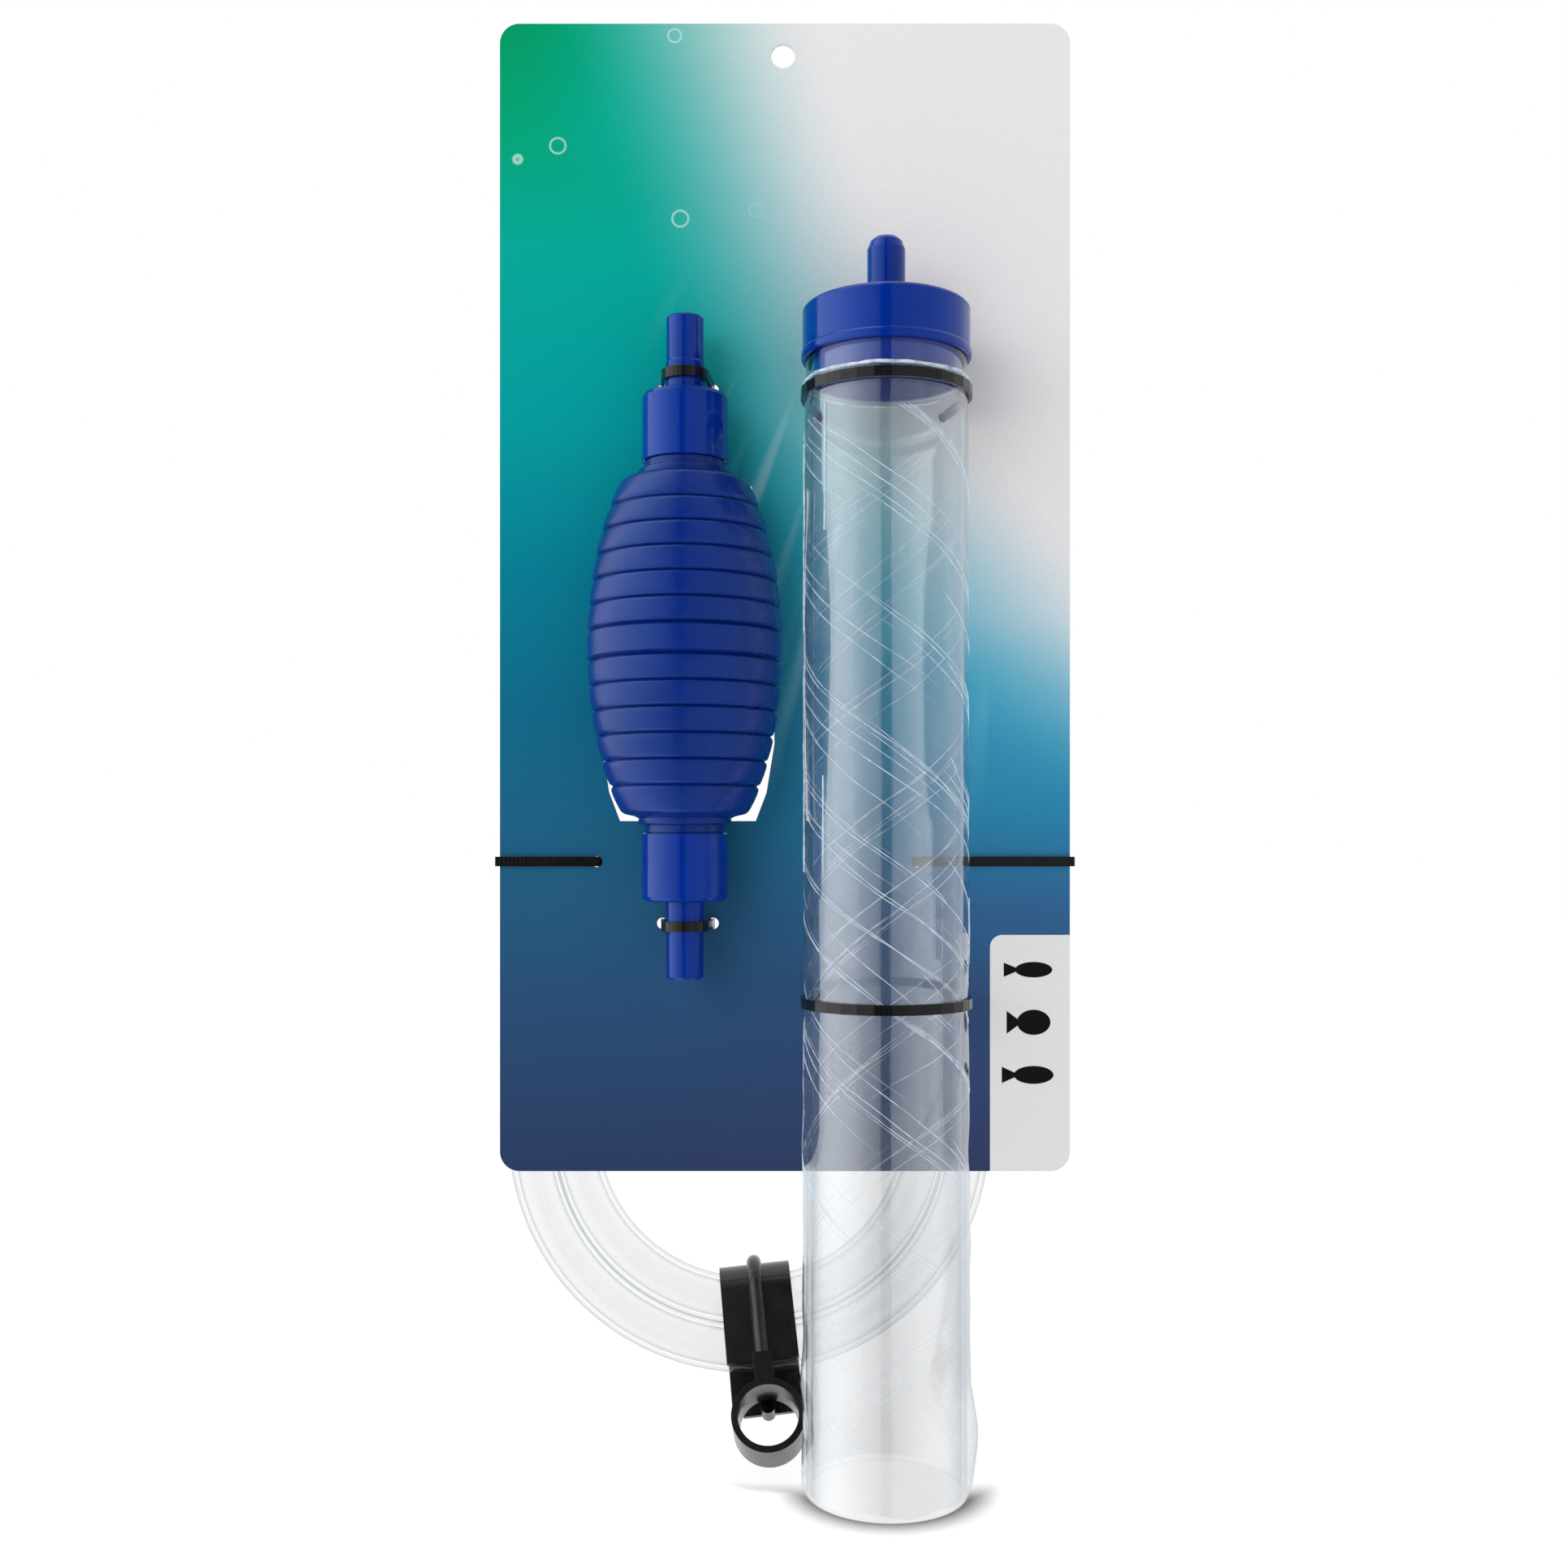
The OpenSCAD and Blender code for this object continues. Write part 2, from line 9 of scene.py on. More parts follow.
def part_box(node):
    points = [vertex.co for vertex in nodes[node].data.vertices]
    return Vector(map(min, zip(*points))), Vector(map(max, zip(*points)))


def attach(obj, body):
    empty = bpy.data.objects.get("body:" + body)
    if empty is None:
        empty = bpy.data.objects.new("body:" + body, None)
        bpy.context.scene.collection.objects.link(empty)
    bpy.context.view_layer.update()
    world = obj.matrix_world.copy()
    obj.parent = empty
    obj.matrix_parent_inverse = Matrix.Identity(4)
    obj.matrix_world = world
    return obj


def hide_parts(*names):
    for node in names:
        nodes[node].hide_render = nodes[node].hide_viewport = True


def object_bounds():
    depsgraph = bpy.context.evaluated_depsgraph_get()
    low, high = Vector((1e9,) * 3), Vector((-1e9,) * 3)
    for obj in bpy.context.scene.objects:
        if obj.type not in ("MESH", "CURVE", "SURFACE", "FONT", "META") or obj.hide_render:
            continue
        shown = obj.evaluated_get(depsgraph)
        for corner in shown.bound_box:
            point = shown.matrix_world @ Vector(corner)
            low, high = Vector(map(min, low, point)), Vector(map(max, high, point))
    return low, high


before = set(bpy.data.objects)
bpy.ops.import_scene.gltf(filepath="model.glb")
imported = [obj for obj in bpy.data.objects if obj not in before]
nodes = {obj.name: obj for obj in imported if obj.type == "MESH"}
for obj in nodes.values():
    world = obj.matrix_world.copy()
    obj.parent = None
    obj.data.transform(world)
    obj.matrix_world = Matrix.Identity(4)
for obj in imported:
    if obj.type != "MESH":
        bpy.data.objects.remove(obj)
cad_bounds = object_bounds()

MM = 0.001

# ---- places and sizes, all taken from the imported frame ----

card_low, card_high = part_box("hang_card")
card_size = card_high - card_low
tube_low, tube_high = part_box("gravel_tube")
tube_r = (tube_high.x - tube_low.x) / 2
film_low, film_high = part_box("film_sleeve")
bulb_low, bulb_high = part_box("squeeze_bulb")
bulb_middle = (bulb_low + bulb_high) / 2
bulb_r = (bulb_high.x - bulb_low.x) / 2
housing_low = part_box("upper_valve_housing")[0]
tube_ties = ("upper_tube_tie", "lower_tube_tie")
tie_heights = [sum(corner.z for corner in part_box(tie)) / 2 for tie in tube_ties]


def srgb(red, green, blue):
    """A linear colour from screen values between 0 and 255."""
    def linear(value):
        share = value / 255
        return share / 12.92 if share <= 0.04045 else ((share + 0.055) / 1.055) ** 2.4
    return (linear(red), linear(green), linear(blue), 1.0)


def grey(value):
    return (value, value, value, 1.0)


# ---- node trees ----

class Shader:
    """The node tree of a material or a world, with short calls for adding and joining nodes."""

    def __init__(self, owner):
        self.owner = owner
        self.owner.use_nodes = True
        self.tree = self.owner.node_tree
        self.tree.nodes.clear()
        coordinates = self.add("TexCoord").outputs
        self.place = coordinates["Object"]
        self.facing_way = coordinates["Normal"]
        self.direction = coordinates["Generated"]

    def add(self, kind, inputs=None, **settings):
        node = self.tree.nodes.new("ShaderNode" + kind)
        for name, value in settings.items():
            setattr(node, name, value)
        for name, value in (inputs or {}).items():
            if isinstance(value, bpy.types.NodeSocket):
                self.tree.links.new(value, node.inputs[name])
            else:
                node.inputs[name].default_value = value
        return node

    def math(self, operation, first, second=0.0):
        return self.add("Math", {0: first, 1: second}, operation=operation).outputs[0]

    def split(self, vector):
        return self.add("SeparateXYZ", {0: vector}).outputs

    def mix(self, share, first, second):
        return self.add("Mix", {0: share, 6: first, 7: second}, data_type="RGBA").outputs[2]

    def blend_shaders(self, share, first, second):
        return self.add("MixShader", {0: share, 1: first, 2: second}).outputs[0]

    def remap(self, value, low, high, new_low=0.0, new_high=1.0, way="LINEAR"):
        return self.add("MapRange", {
            "Value": value, "From Min": low, "From Max": high, "To Min": new_low, "To Max": new_high,
        }, interpolation_type=way).outputs[0]

    def ramp(self, value, stops):
        node = self.add("ValToRGB", {0: value})
        elements = node.color_ramp.elements
        elements.remove(elements[-1])
        for index, (position, colour) in enumerate(stops):
            element = elements.new(position) if index else elements[0]
            element.position = position
            element.color = colour
        return node.outputs["Color"]

    def noise(self, scale, detail=3.0, stretch=(1, 1, 1)):
        place = self.add("Mapping", {"Vector": self.place, "Scale": stretch}).outputs[0]
        return self.add("TexNoise", {"Vector": place, "Scale": scale, "Detail": detail}).outputs[0]

    def rounded_edges(self, radius):
        return self.add("Bevel", {"Radius": radius}, samples=4).outputs[0]

    def bump(self, height, depth, normal=None):
        inputs = {"Height": height, "Distance": depth, "Strength": 1.0}
        if normal:
            inputs["Normal"] = normal
        return self.add("Bump", inputs).outputs[0]

    def principled(self, **inputs):
        named = {}
        for name, value in inputs.items():
            named[name.replace("_", " ").title().replace("Ior", "IOR")] = value
        return self.add("BsdfPrincipled", named).outputs[0]

    def finish(self, shader, output_kind="OutputMaterial"):
        output = self.add(output_kind)
        self.tree.links.new(shader, output.inputs["Surface"])
        return self.owner


def material_shader(name):
    return Shader(bpy.data.materials.new(name))


def moulded_plastic(name, colour, roughness, grain=0.006, edge=0.25, coat=0.0, shine=grey(1.0)):
    """Opaque moulded plastic: slight colour drift, soft flow marks, fine grain and rounded edges."""
    shader = material_shader(name)
    drift = shader.remap(shader.noise(45, 2), 0.3, 0.7, 0.9, 1.08)
    tone = shader.add("VectorMath", {0: colour[:3], 3: drift}, operation="SCALE").outputs[0]
    normal = shader.bump(shader.noise(1400, 4), grain * MM, shader.rounded_edges(edge * MM))
    flow = shader.bump(shader.noise(60, 2, (1, 1, 0.25)), 0.05 * MM, normal)
    gloss = shader.remap(shader.noise(220, 5), 0.3, 0.75, roughness * 0.8, roughness * 1.3)
    return shader.finish(shader.principled(
        base_color=tone, roughness=gloss, normal=flow, coat_weight=coat, coat_roughness=0.06,
        specular_tint=shine))


cool_mirror = (0.95, 0.98, 1.0, 1.0)
cool_haze = (0.72, 0.84, 1.0, 1.0)
face_on_reflection = 0.045
grazing_reflection = 0.9


def clear_plastic(name, tint, edge_tint, gain, veil, roughness, waves, wave_depth, shadow):
    """Thin clear plastic with a faint milky veil. Its reflections and its tint grow towards its outline.
    Light on its way to matt surfaces passes with only the shadow tint."""
    shader = material_shader(name)
    normal = shader.bump(shader.noise(waves, 2), wave_depth * MM)
    facing = shader.add("LayerWeight", {"Blend": 0.5, "Normal": normal}).outputs["Facing"]
    grazing = shader.math("POWER", facing, 5.0)
    reflection = shader.remap(grazing, 0.0, 1.0, face_on_reflection, grazing_reflection)
    reflect = shader.math("MULTIPLY", reflection, gain)
    rim = shader.math("POWER", facing, 3.0)
    glass = shader.add("BsdfTransparent", {"Color": shader.mix(rim, tint, edge_tint)}).outputs[0]
    gloss = shader.remap(shader.noise(300, 4), 0.3, 0.7, roughness * 0.6, roughness * 1.5)
    mirror = shader.add("BsdfAnisotropic", {
        "Color": cool_mirror, "Roughness": gloss, "Normal": normal}).outputs[0]
    haze = shader.math("MULTIPLY", shader.remap(shader.noise(80, 5), 0.3, 0.7, 0.4, 1.6), veil)
    milky = shader.add("BsdfDiffuse", {"Color": cool_haze}).outputs[0]
    seen = shader.blend_shaders(reflect, shader.blend_shaders(haze, glass, milky), mirror)
    passing = shader.add("BsdfTransparent", {"Color": shadow}).outputs[0]
    path = shader.add("LightPath").outputs
    unseen = shader.math("MAXIMUM", path["Is Shadow Ray"], path["Is Diffuse Ray"])
    return shader.finish(shader.blend_shaders(unseen, seen, passing))


def printed_card(name):
    """Coated card: a printed blue-green gradient on the front, bare board on the back and cut edges."""
    shader = material_shader(name)
    x, _, z = shader.split(shader.place)
    across = shader.remap(x, card_low.x, card_high.x)
    up = shader.remap(z, card_low.z, card_high.z)

    deep = shader.ramp(up, [
        (0.0, srgb(44, 60, 97)), (0.14, srgb(41, 76, 116)), (0.25, srgb(34, 92, 128)),
        (0.4, srgb(14, 107, 138)), (0.52, srgb(3, 128, 149)), (0.65, srgb(1, 155, 158)),
        (0.8, srgb(1, 167, 152)), (0.9, srgb(1, 164, 120)), (1.0, srgb(1, 152, 97)),
    ])
    left_end = shader.remap(up, 0.7, 0.9, 0.2, 0.0)
    right_end = shader.remap(up, 0.7, 0.9, 0.9, 0.3)
    corner_share = shader.remap(across, left_end, right_end, way="SMOOTHSTEP")
    water = shader.mix(corner_share, deep, shader.ramp(up, [
        (0.0, srgb(52, 62, 100)), (0.14, srgb(52, 76, 118)), (0.23, srgb(50, 98, 144)),
        (0.31, srgb(44, 130, 170)), (0.4, srgb(58, 152, 188)), (0.5, srgb(60, 166, 196)),
        (0.7, srgb(10, 162, 164)), (1.0, srgb(2, 172, 146)),
    ]))

    # where the pale light reaches half strength, as a share of the width; it moves right going down
    halfway = shader.math("MULTIPLY", 2.0, shader.ramp(up, [
        (0.0, grey(0.95)), (0.25, grey(0.8)), (0.4, grey(0.54)), (0.48, grey(0.42)), (0.57, grey(0.345)),
        (0.65, grey(0.285)), (0.8, grey(0.23)), (1.0, grey(0.165)),
    ]))
    spread = shader.remap(up, 0.3, 0.7, 0.42, 0.24)
    lit = shader.remap(
        shader.math("SUBTRACT", across, halfway), shader.math("MULTIPLY", spread, -1.0), spread,
        way="SMOOTHSTEP")

    # soft rays that fan out from above the card's right corner
    side = shader.math("SUBTRACT", x, card_high.x + 0.05 * card_size.x)
    drop = shader.math("SUBTRACT", card_high.z + 0.37 * card_size.z, z)
    fan = shader.math("ARCTAN2", side, drop)
    streaks = shader.add(
        "TexNoise", {"W": fan, "Scale": 34.0, "Detail": 1.0}, noise_dimensions="1D").outputs[0]
    rays = shader.remap(streaks, 0.45, 0.75, 0.0, 0.42, way="SMOOTHSTEP")
    reach = shader.math("MULTIPLY", shader.remap(up, 0.3, 0.5), shader.remap(up, 0.9, 0.7))
    reach = shader.math("MULTIPLY", reach, shader.remap(across, 0.25, 0.45))
    rays = shader.math("MULTIPLY", rays, reach)
    brightness = shader.math("MAXIMUM", lit, rays)
    glow = shader.mix(brightness, srgb(92, 196, 214), srgb(233, 231, 233))
    picture = shader.mix(brightness, water, glow)

    # plain bubbles, as pale rings of random size
    bubbles = shader.add("TexVoronoi", {"Vector": shader.place, "Scale": 75.0, "Randomness": 1.0})
    size = shader.remap(shader.split(bubbles.outputs["Color"])[0], 0.55, 1.0, 0.0, 0.27)
    rim = shader.math("SUBTRACT", bubbles.outputs["Distance"], size)
    ring = shader.remap(shader.math("ABSOLUTE", rim), 0.035, 0.0, way="SMOOTHSTEP")
    ring = shader.math("MULTIPLY", ring, shader.remap(size, 0.12, 0.14))
    upper_left = shader.math("MULTIPLY", shader.remap(up, 0.6, 0.75), shader.remap(across, 0.5, 0.3))
    ring = shader.math("MULTIPLY", shader.math("MULTIPLY", ring, upper_left), 0.55)
    picture = shader.mix(ring, picture, srgb(214, 244, 240))

    # white tab at the bottom right, rounded at its top left corner
    tab_left = card_high.x - 26.5 * MM
    tab_top = card_low.z + 78.5 * MM
    tab_round = 4 * MM
    right_of = shader.math("SUBTRACT", tab_left + tab_round, x)
    above = shader.math("SUBTRACT", z, tab_top - tab_round)
    corner = shader.add("CombineXYZ", {
        0: shader.math("MAXIMUM", right_of, 0.0), 1: shader.math("MAXIMUM", above, 0.0)}).outputs[0]
    outside = shader.add("VectorMath", {0: corner}, operation="LENGTH").outputs["Value"]
    tab = shader.remap(outside, tab_round + 0.15 * MM, tab_round)
    picture = shader.mix(tab, picture, srgb(226, 226, 227))
    picture = shader.mix(fish_marks(shader, x, z, tab_left, tab_top), picture, srgb(22, 21, 22))

    # fine print screen, then the bare board where the surface doesn't face forwards
    screen = shader.remap(shader.noise(2600, 1), 0.35, 0.65, 0.96, 1.03)
    picture = shader.add("VectorMath", {0: picture, 3: screen}, operation="SCALE").outputs[0]
    fibres = shader.noise(420, 6, (1, 1, 3))
    board = shader.ramp(fibres, [(0.3, srgb(196, 192, 184)), (0.7, srgb(226, 223, 216))])
    is_front = shader.remap(shader.split(shader.facing_way)[1], -0.7, -0.9)
    colour = shader.mix(is_front, board, picture)
    normal = shader.bump(shader.noise(700, 4), 0.012 * MM, shader.rounded_edges(0.2 * MM))
    warp = shader.bump(shader.noise(9, 1), 0.8 * MM, normal)
    roughness = shader.remap(is_front, 0.0, 1.0, 0.8, 0.36)
    return shader.finish(shader.principled(
        base_color=colour, roughness=roughness, normal=warp, specular_ior_level=0.06))


def fish_marks(shader, x, z, tab_left, tab_top):
    """Three plain signs of a fish, an ellipse with a pointed tail, one above the other on the tab."""
    tab_middle = (tab_left + card_high.x) / 2
    half_sizes = [(6.2, 2.6), (5.6, 4.2), (6.6, 3.0)]
    first_drop = 11.5
    row_pitch = 17.5
    marks = 0.0
    for row, (half_length, half_height) in enumerate(half_sizes):
        middle_z = tab_top - (first_drop + row_pitch * row) * MM
        along = shader.math("DIVIDE", shader.math("SUBTRACT", x, tab_middle + 1.2 * MM), half_length * MM)
        over = shader.math("DIVIDE", shader.math("SUBTRACT", z, middle_z), half_height * MM)
        distance = shader.math("ADD", shader.math("POWER", along, 2.0), shader.math("POWER", over, 2.0))
        body = shader.remap(distance, 1.04, 0.96)
        behind = shader.remap(along, -1.62, -1.6)
        before = shader.remap(along, -0.7, -0.72)
        tail_width = shader.remap(along, -1.6, -0.7, 0.95, 0.05)
        wedge = shader.math("SUBTRACT", tail_width, shader.math("ABSOLUTE", over))
        tail_span = shader.math("MULTIPLY", behind, before)
        tail = shader.math("MULTIPLY", tail_span, shader.remap(wedge, 0.0, 0.08))
        marks = shader.math("MAXIMUM", marks, shader.math("MAXIMUM", body, tail))
    return marks


def strap_nylon(name):
    """Satin black nylon strap with fine cross teeth."""
    shader = material_shader(name)
    teeth = shader.add("TexWave", {"Vector": shader.place, "Scale": 230.0}, bands_direction="X").outputs[0]
    normal = shader.bump(teeth, 0.012 * MM, shader.rounded_edges(0.3 * MM))
    rough = shader.remap(shader.noise(500, 4), 0.3, 0.7, 0.14, 0.24)
    tone = shader.ramp(shader.noise(90, 3), [(0.3, grey(0.004)), (0.7, grey(0.008))])
    return shader.finish(shader.principled(
        base_color=tone, roughness=rough, normal=normal, specular_ior_level=0.4))


def soft_vinyl(name, colour, shine):
    """Satin soft vinyl of the bulb: dusty matt patches over a smooth skin, with painted shade in its grooves
    from ambient occlusion.
    """
    shader = material_shader(name)
    drift = shader.ramp(shader.noise(38, 3), [(0.3, grey(0.9)), (0.7, grey(1.1))])
    # painted shade: ambient occlusion darkens the base colour in the grooves between the ribs, on top of a
    # random tone drift
    hollow = shader.add("AmbientOcclusion", {"Distance": 1.6 * MM}, samples=4).outputs["AO"]
    drift_and_groove_shade = shader.math("MULTIPLY", drift, shader.remap(hollow, 0.2, 0.9, 0.55, 1.0))
    tone = shader.add("VectorMath", {0: colour[:3], 3: drift_and_groove_shade}, operation="SCALE").outputs[0]
    normal = shader.bump(shader.noise(900, 5), 0.012 * MM)
    ripple = shader.bump(shader.noise(110, 2), 0.12 * MM, normal)
    rough = shader.remap(shader.noise(160, 5), 0.3, 0.7, 0.2, 0.34)
    return shader.finish(shader.principled(
        base_color=tone, roughness=rough, normal=ripple, specular_tint=shine))


def crease_white(name, strength):
    """Stretched clear film along a crease or a rolled edge: broken milky white."""
    shader = material_shader(name)
    broken = shader.remap(shader.noise(260, 4), 0.35, 0.6, 0.35, 1.0)
    tight = shader.remap(shader.split(shader.place)[2], 70 * MM, 115 * MM, 0.25, 1.0)
    cover = shader.math("MULTIPLY", shader.math("MULTIPLY", broken, tight), strength)
    milky = shader.principled(base_color=srgb(228, 241, 252), roughness=0.25)
    clear = shader.add("BsdfTransparent", {"Color": grey(1.0)}).outputs[0]
    return shader.finish(shader.blend_shaders(cover, clear, milky))


blue_shine = srgb(196, 240, 255)
blue_gloss = moulded_plastic("blue_gloss", srgb(1, 42, 142), 0.1, shine=blue_shine)
black_gloss = moulded_plastic("black_plastic", srgb(17, 17, 18), 0.2, coat=0.3)
seat_white = moulded_plastic("white_plastic", srgb(228, 229, 231), 0.4)
disc_rubber = moulded_plastic("black_rubber", srgb(34, 34, 36), 0.6, grain=0.02)
black_nylon = strap_nylon("black_nylon")
blue_vinyl = soft_vinyl("blue_bulb", srgb(4, 37, 124), blue_shine)
card_finish = printed_card("printed_card")
tube_clear = clear_plastic(
    "clear_tube", grey(0.985), srgb(240, 243, 246), 1.28, 0.006, 0.02, 14, 0.08, grey(0.994))
hose_clear = clear_plastic(
    "clear_hose", grey(0.982), srgb(204, 206, 208), 1.0, 0.01, 0.05, 45, 0.35, grey(0.98))
film_clear = clear_plastic(
    "clear_film", grey(0.985), srgb(248, 249, 250), 1.28, 0.009, 0.02, 55, 0.02, grey(0.996))
film_crease = crease_white("film_crease", 0.62)
film_roll = crease_white("film_roll", 0.8)

finishes = {
    "tube_cap": blue_gloss,
    "lower_valve_housing": blue_gloss,
    "upper_valve_housing": blue_gloss,
    "lower_valve_seat": seat_white,
    "upper_valve_seat": seat_white,
    "lower_valve_disc": disc_rubber,
    "upper_valve_disc": disc_rubber,
    "lower_gasket": disc_rubber,
    "upper_gasket": disc_rubber,
    "gravel_tube": tube_clear,
    "hose": hose_clear,
    "hose_clip": black_gloss,
    "hang_card": card_finish,
}
for name in nodes:
    if name.endswith("_tie"):
        finishes[name] = black_nylon
for name, material in finishes.items():
    nodes[name].data.materials.clear()
    nodes[name].data.materials.append(material)


# ---- pieces built here ----

def add_piece(name, data, material):
    """A new piece that moves with the card and everything tied to it."""
    piece = bpy.data.objects.new(name, data)
    bpy.context.scene.collection.objects.link(piece)
    piece.data.materials.append(material)
    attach(piece, "card_set")
    return piece


def turned_mesh(name, outline_at, middle, segments, sharp):
    """A closed solid swept round an upright axis. outline_at(angle) gives a closed list of (radius, height),
    and edges sharper than the angle sharp, in degrees, stay crisp."""
    vertices = []
    for index in range(segments):
        angle = 2 * math.pi * index / segments
        for radius, height in outline_at(angle):
            place = Vector((radius * math.cos(angle), radius * math.sin(angle), height))
            vertices.append(middle + place)
    count = len(vertices) // segments
    faces = []
    for index in range(segments):
        here, there = index * count, (index + 1) % segments * count
        for step in range(count):
            following = (step + 1) % count
            faces.append((here + step, there + step, there + following, here + following))
    mesh = bpy.data.meshes.new(name)
    mesh.from_pydata(vertices, [], faces)
    shape = bmesh.new()
    shape.from_mesh(mesh)
    bmesh.ops.recalc_face_normals(shape, faces=shape.faces)
    shape.to_mesh(mesh)
    shape.free()
    mesh.shade_smooth()
    mesh.set_sharp_from_angle(angle=math.radians(sharp))
    return mesh


def curve_data(name, lines, thickness, closed=False):
    """Round strands through lists of (point, share of the thickness)."""
    data = bpy.data.curves.new(name, "CURVE")
    data.dimensions = "3D"
    data.bevel_depth = thickness
    data.bevel_resolution = 2
    data.use_fill_caps = True
    for line in lines:
        spline = data.splines.new("POLY")
        spline.points.add(len(line) - 1)
        spline.use_cyclic_u = closed
        spline.use_smooth = True
        for point, (place, share) in zip(spline.points, line):
            point.co = (*place, 1.0)
            point.radius = share
    return data


# Squeeze bulb: the ribbed body, its two necks and the hollow inside, turned from one outline

ribs = 13
middle_rib = 9.5 * MM
end_rib = 9 * MM
body_half = (housing_low.z - bulb_middle.z) - 6.05 * MM
other_rib = (body_half - middle_rib / 2 - end_rib) / (ribs // 2 - 1)
envelope_half = 70.7 * MM
rib_height = 0.25 * MM
groove = 1.0 * MM
bulb_wall = 2.4 * MM
# how far a rib's skin stands out, in mm, as (share of the way up the rib, height of the skin)
rib_bulge = [(0.0, -1.0), (0.035, -0.62), (0.09, -0.12), (0.17, 0.17), (0.3, 0.25), (0.5, 0.2),
             (0.75, 0.08), (0.9, -0.06), (0.96, -0.2), (0.985, -0.5)]


def bulb_envelope(height):
    """The bulb's radius without its ribs: an ellipse that reaches the axis beyond the necks."""
    return (bulb_r - rib_height) * math.sqrt(1 - (height / envelope_half) ** 2)


def eased(stops, share):
    """The value at a share of the way along a list of (share, value), eased between the stops."""
    for (left, low), (right, high) in zip(stops, stops[1:]):
        if share <= right:
            part = (share - left) / (right - left)
            return low + (high - low) * part * part * (3 - 2 * part)
    return stops[-1][1]


def bulb_half_outline():
    """The outer outline from the bulb's middle to the inner end of its neck, for positive heights."""
    points = []
    for step in range(1, 5):
        points.append((bulb_envelope(0) + rib_height, middle_rib / 2 * step / 5))
    edges = [middle_rib / 2 + index * other_rib for index in range(ribs // 2)] + [body_half]
    rib_steps = 16
    for start, end in zip(edges, edges[1:]):
        for step in range(rib_steps):
            share = (step / rib_steps) ** 1.4
            height = start + (end - start) * share
            offset = eased(rib_bulge + [(1.0, -0.6)], share) * MM
            points.append((bulb_envelope(height) + offset, height))
    collar_r = 15 * MM
    neck_r = 13 * MM
    plug_r = 12.1 * MM
    neck_top = bulb_high.z - bulb_middle.z
    neck_start = housing_low.z - bulb_middle.z
    points += [
        (bulb_envelope(body_half) - 0.9 * MM, body_half),
        (collar_r + 1.2 * MM, body_half + 0.7 * MM),
        (collar_r, body_half + 1.3 * MM),
        (collar_r, body_half + 2.9 * MM),
        (collar_r - 0.3 * MM, body_half + 3.2 * MM),
        (neck_r, body_half + 3.6 * MM),
        (neck_r, neck_start - 0.2 * MM),
        (plug_r, neck_start - 0.2 * MM),
        (plug_r, neck_top),
    ]
    return points


def bulb_outline(angle):
    """The whole closed outline, which is the same at every angle."""
    upper = bulb_half_outline()
    hollow_r = 9.6 * MM
    hollow_end = body_half - bulb_wall
    steps = 14
    hollow = [(hollow_r, bulb_high.z - bulb_middle.z), (hollow_r, hollow_end)]
    for step in range(steps, -1, -1):
        height = hollow_end * step / steps
        hollow.append((bulb_envelope(height) - groove - bulb_wall, height))
    lower = [(radius, -height) for radius, height in reversed(upper)]
    lower_hollow = [(radius, -height) for radius, height in reversed(hollow[:-1])]
    return lower + upper + hollow + lower_hollow


bulb_skin = add_piece(
    "squeeze_bulb_skin", turned_mesh("squeeze_bulb_skin", bulb_outline, bulb_middle, 160, 50),
    blue_vinyl)
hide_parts("squeeze_bulb")


# Film round the gravel tube: a thin wavy sleeve, held in by the two ties, flared at its lower end

film_thickness = 0.12 * MM
film_gap = 0.12 * MM
film_height = film_high.z - film_low.z
tie_reach = 14 * MM
fold_zone = 190 * MM
flare_length = 34 * MM
random.seed(7)


def film_radius(angle, height):
    """The sleeve's inner radius. The ties hold it in, and fold lines stand out at left and right, more so
    towards the bottom, where it also flares to the right."""
    held = min(1.0, min(abs(height - tie) for tie in tie_heights) / tie_reach)
    held = held * held * (3 - 2 * held)
    front = 0.5 - 0.5 * math.sin(angle)
    fold = abs(math.cos(angle)) ** 30
    low_part = max(0.0, 1 - height / fold_zone)
    wave = 0.5 + 0.5 * noise.noise(Vector((3 * math.cos(angle), 3 * math.sin(angle), height * 45)))
    fold_wave = 0.5 + 0.5 * noise.noise(Vector((9, math.copysign(4, math.cos(angle)), height * 70)))
    stand_out = 0.35 * wave * front + fold * fold_wave * (0.5 + 1.5 * low_part)
    flare = 2.2 * math.sin(math.pi * min(1.0, height / flare_length)) * max(0.0, math.cos(angle)) ** 3
    return tube_r + film_gap + held * (stand_out + flare) * MM


def film_outline(angle):
    """The sleeve's wall at one angle, from its uneven lower edge up the outside and back down the inside."""
    rows = 150
    bottom = 1.6 * MM + 1.2 * MM * noise.noise(Vector((2 * math.cos(angle), 2 * math.sin(angle), 0)))
    heights = [bottom + (film_height - bottom) * row / rows for row in range(rows + 1)]
    outer = [(film_radius(angle, height) + film_thickness, height) for height in heights]
    inner = [(film_radius(angle, height), height) for height in reversed(heights)]
    return outer + inner


film_wrap = add_piece(
    "film_wrap", turned_mesh("film_wrap", film_outline, Vector((0, 0, film_low.z)), 240, 60),
    film_clear)
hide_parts("film_sleeve")


def on_film(angle, height, lift):
    """A point on the sleeve's outside, lifted off it by some millimetres."""
    radius = film_radius(angle, height) + film_thickness + lift * MM
    return Vector((radius * math.cos(angle), radius * math.sin(angle), height))


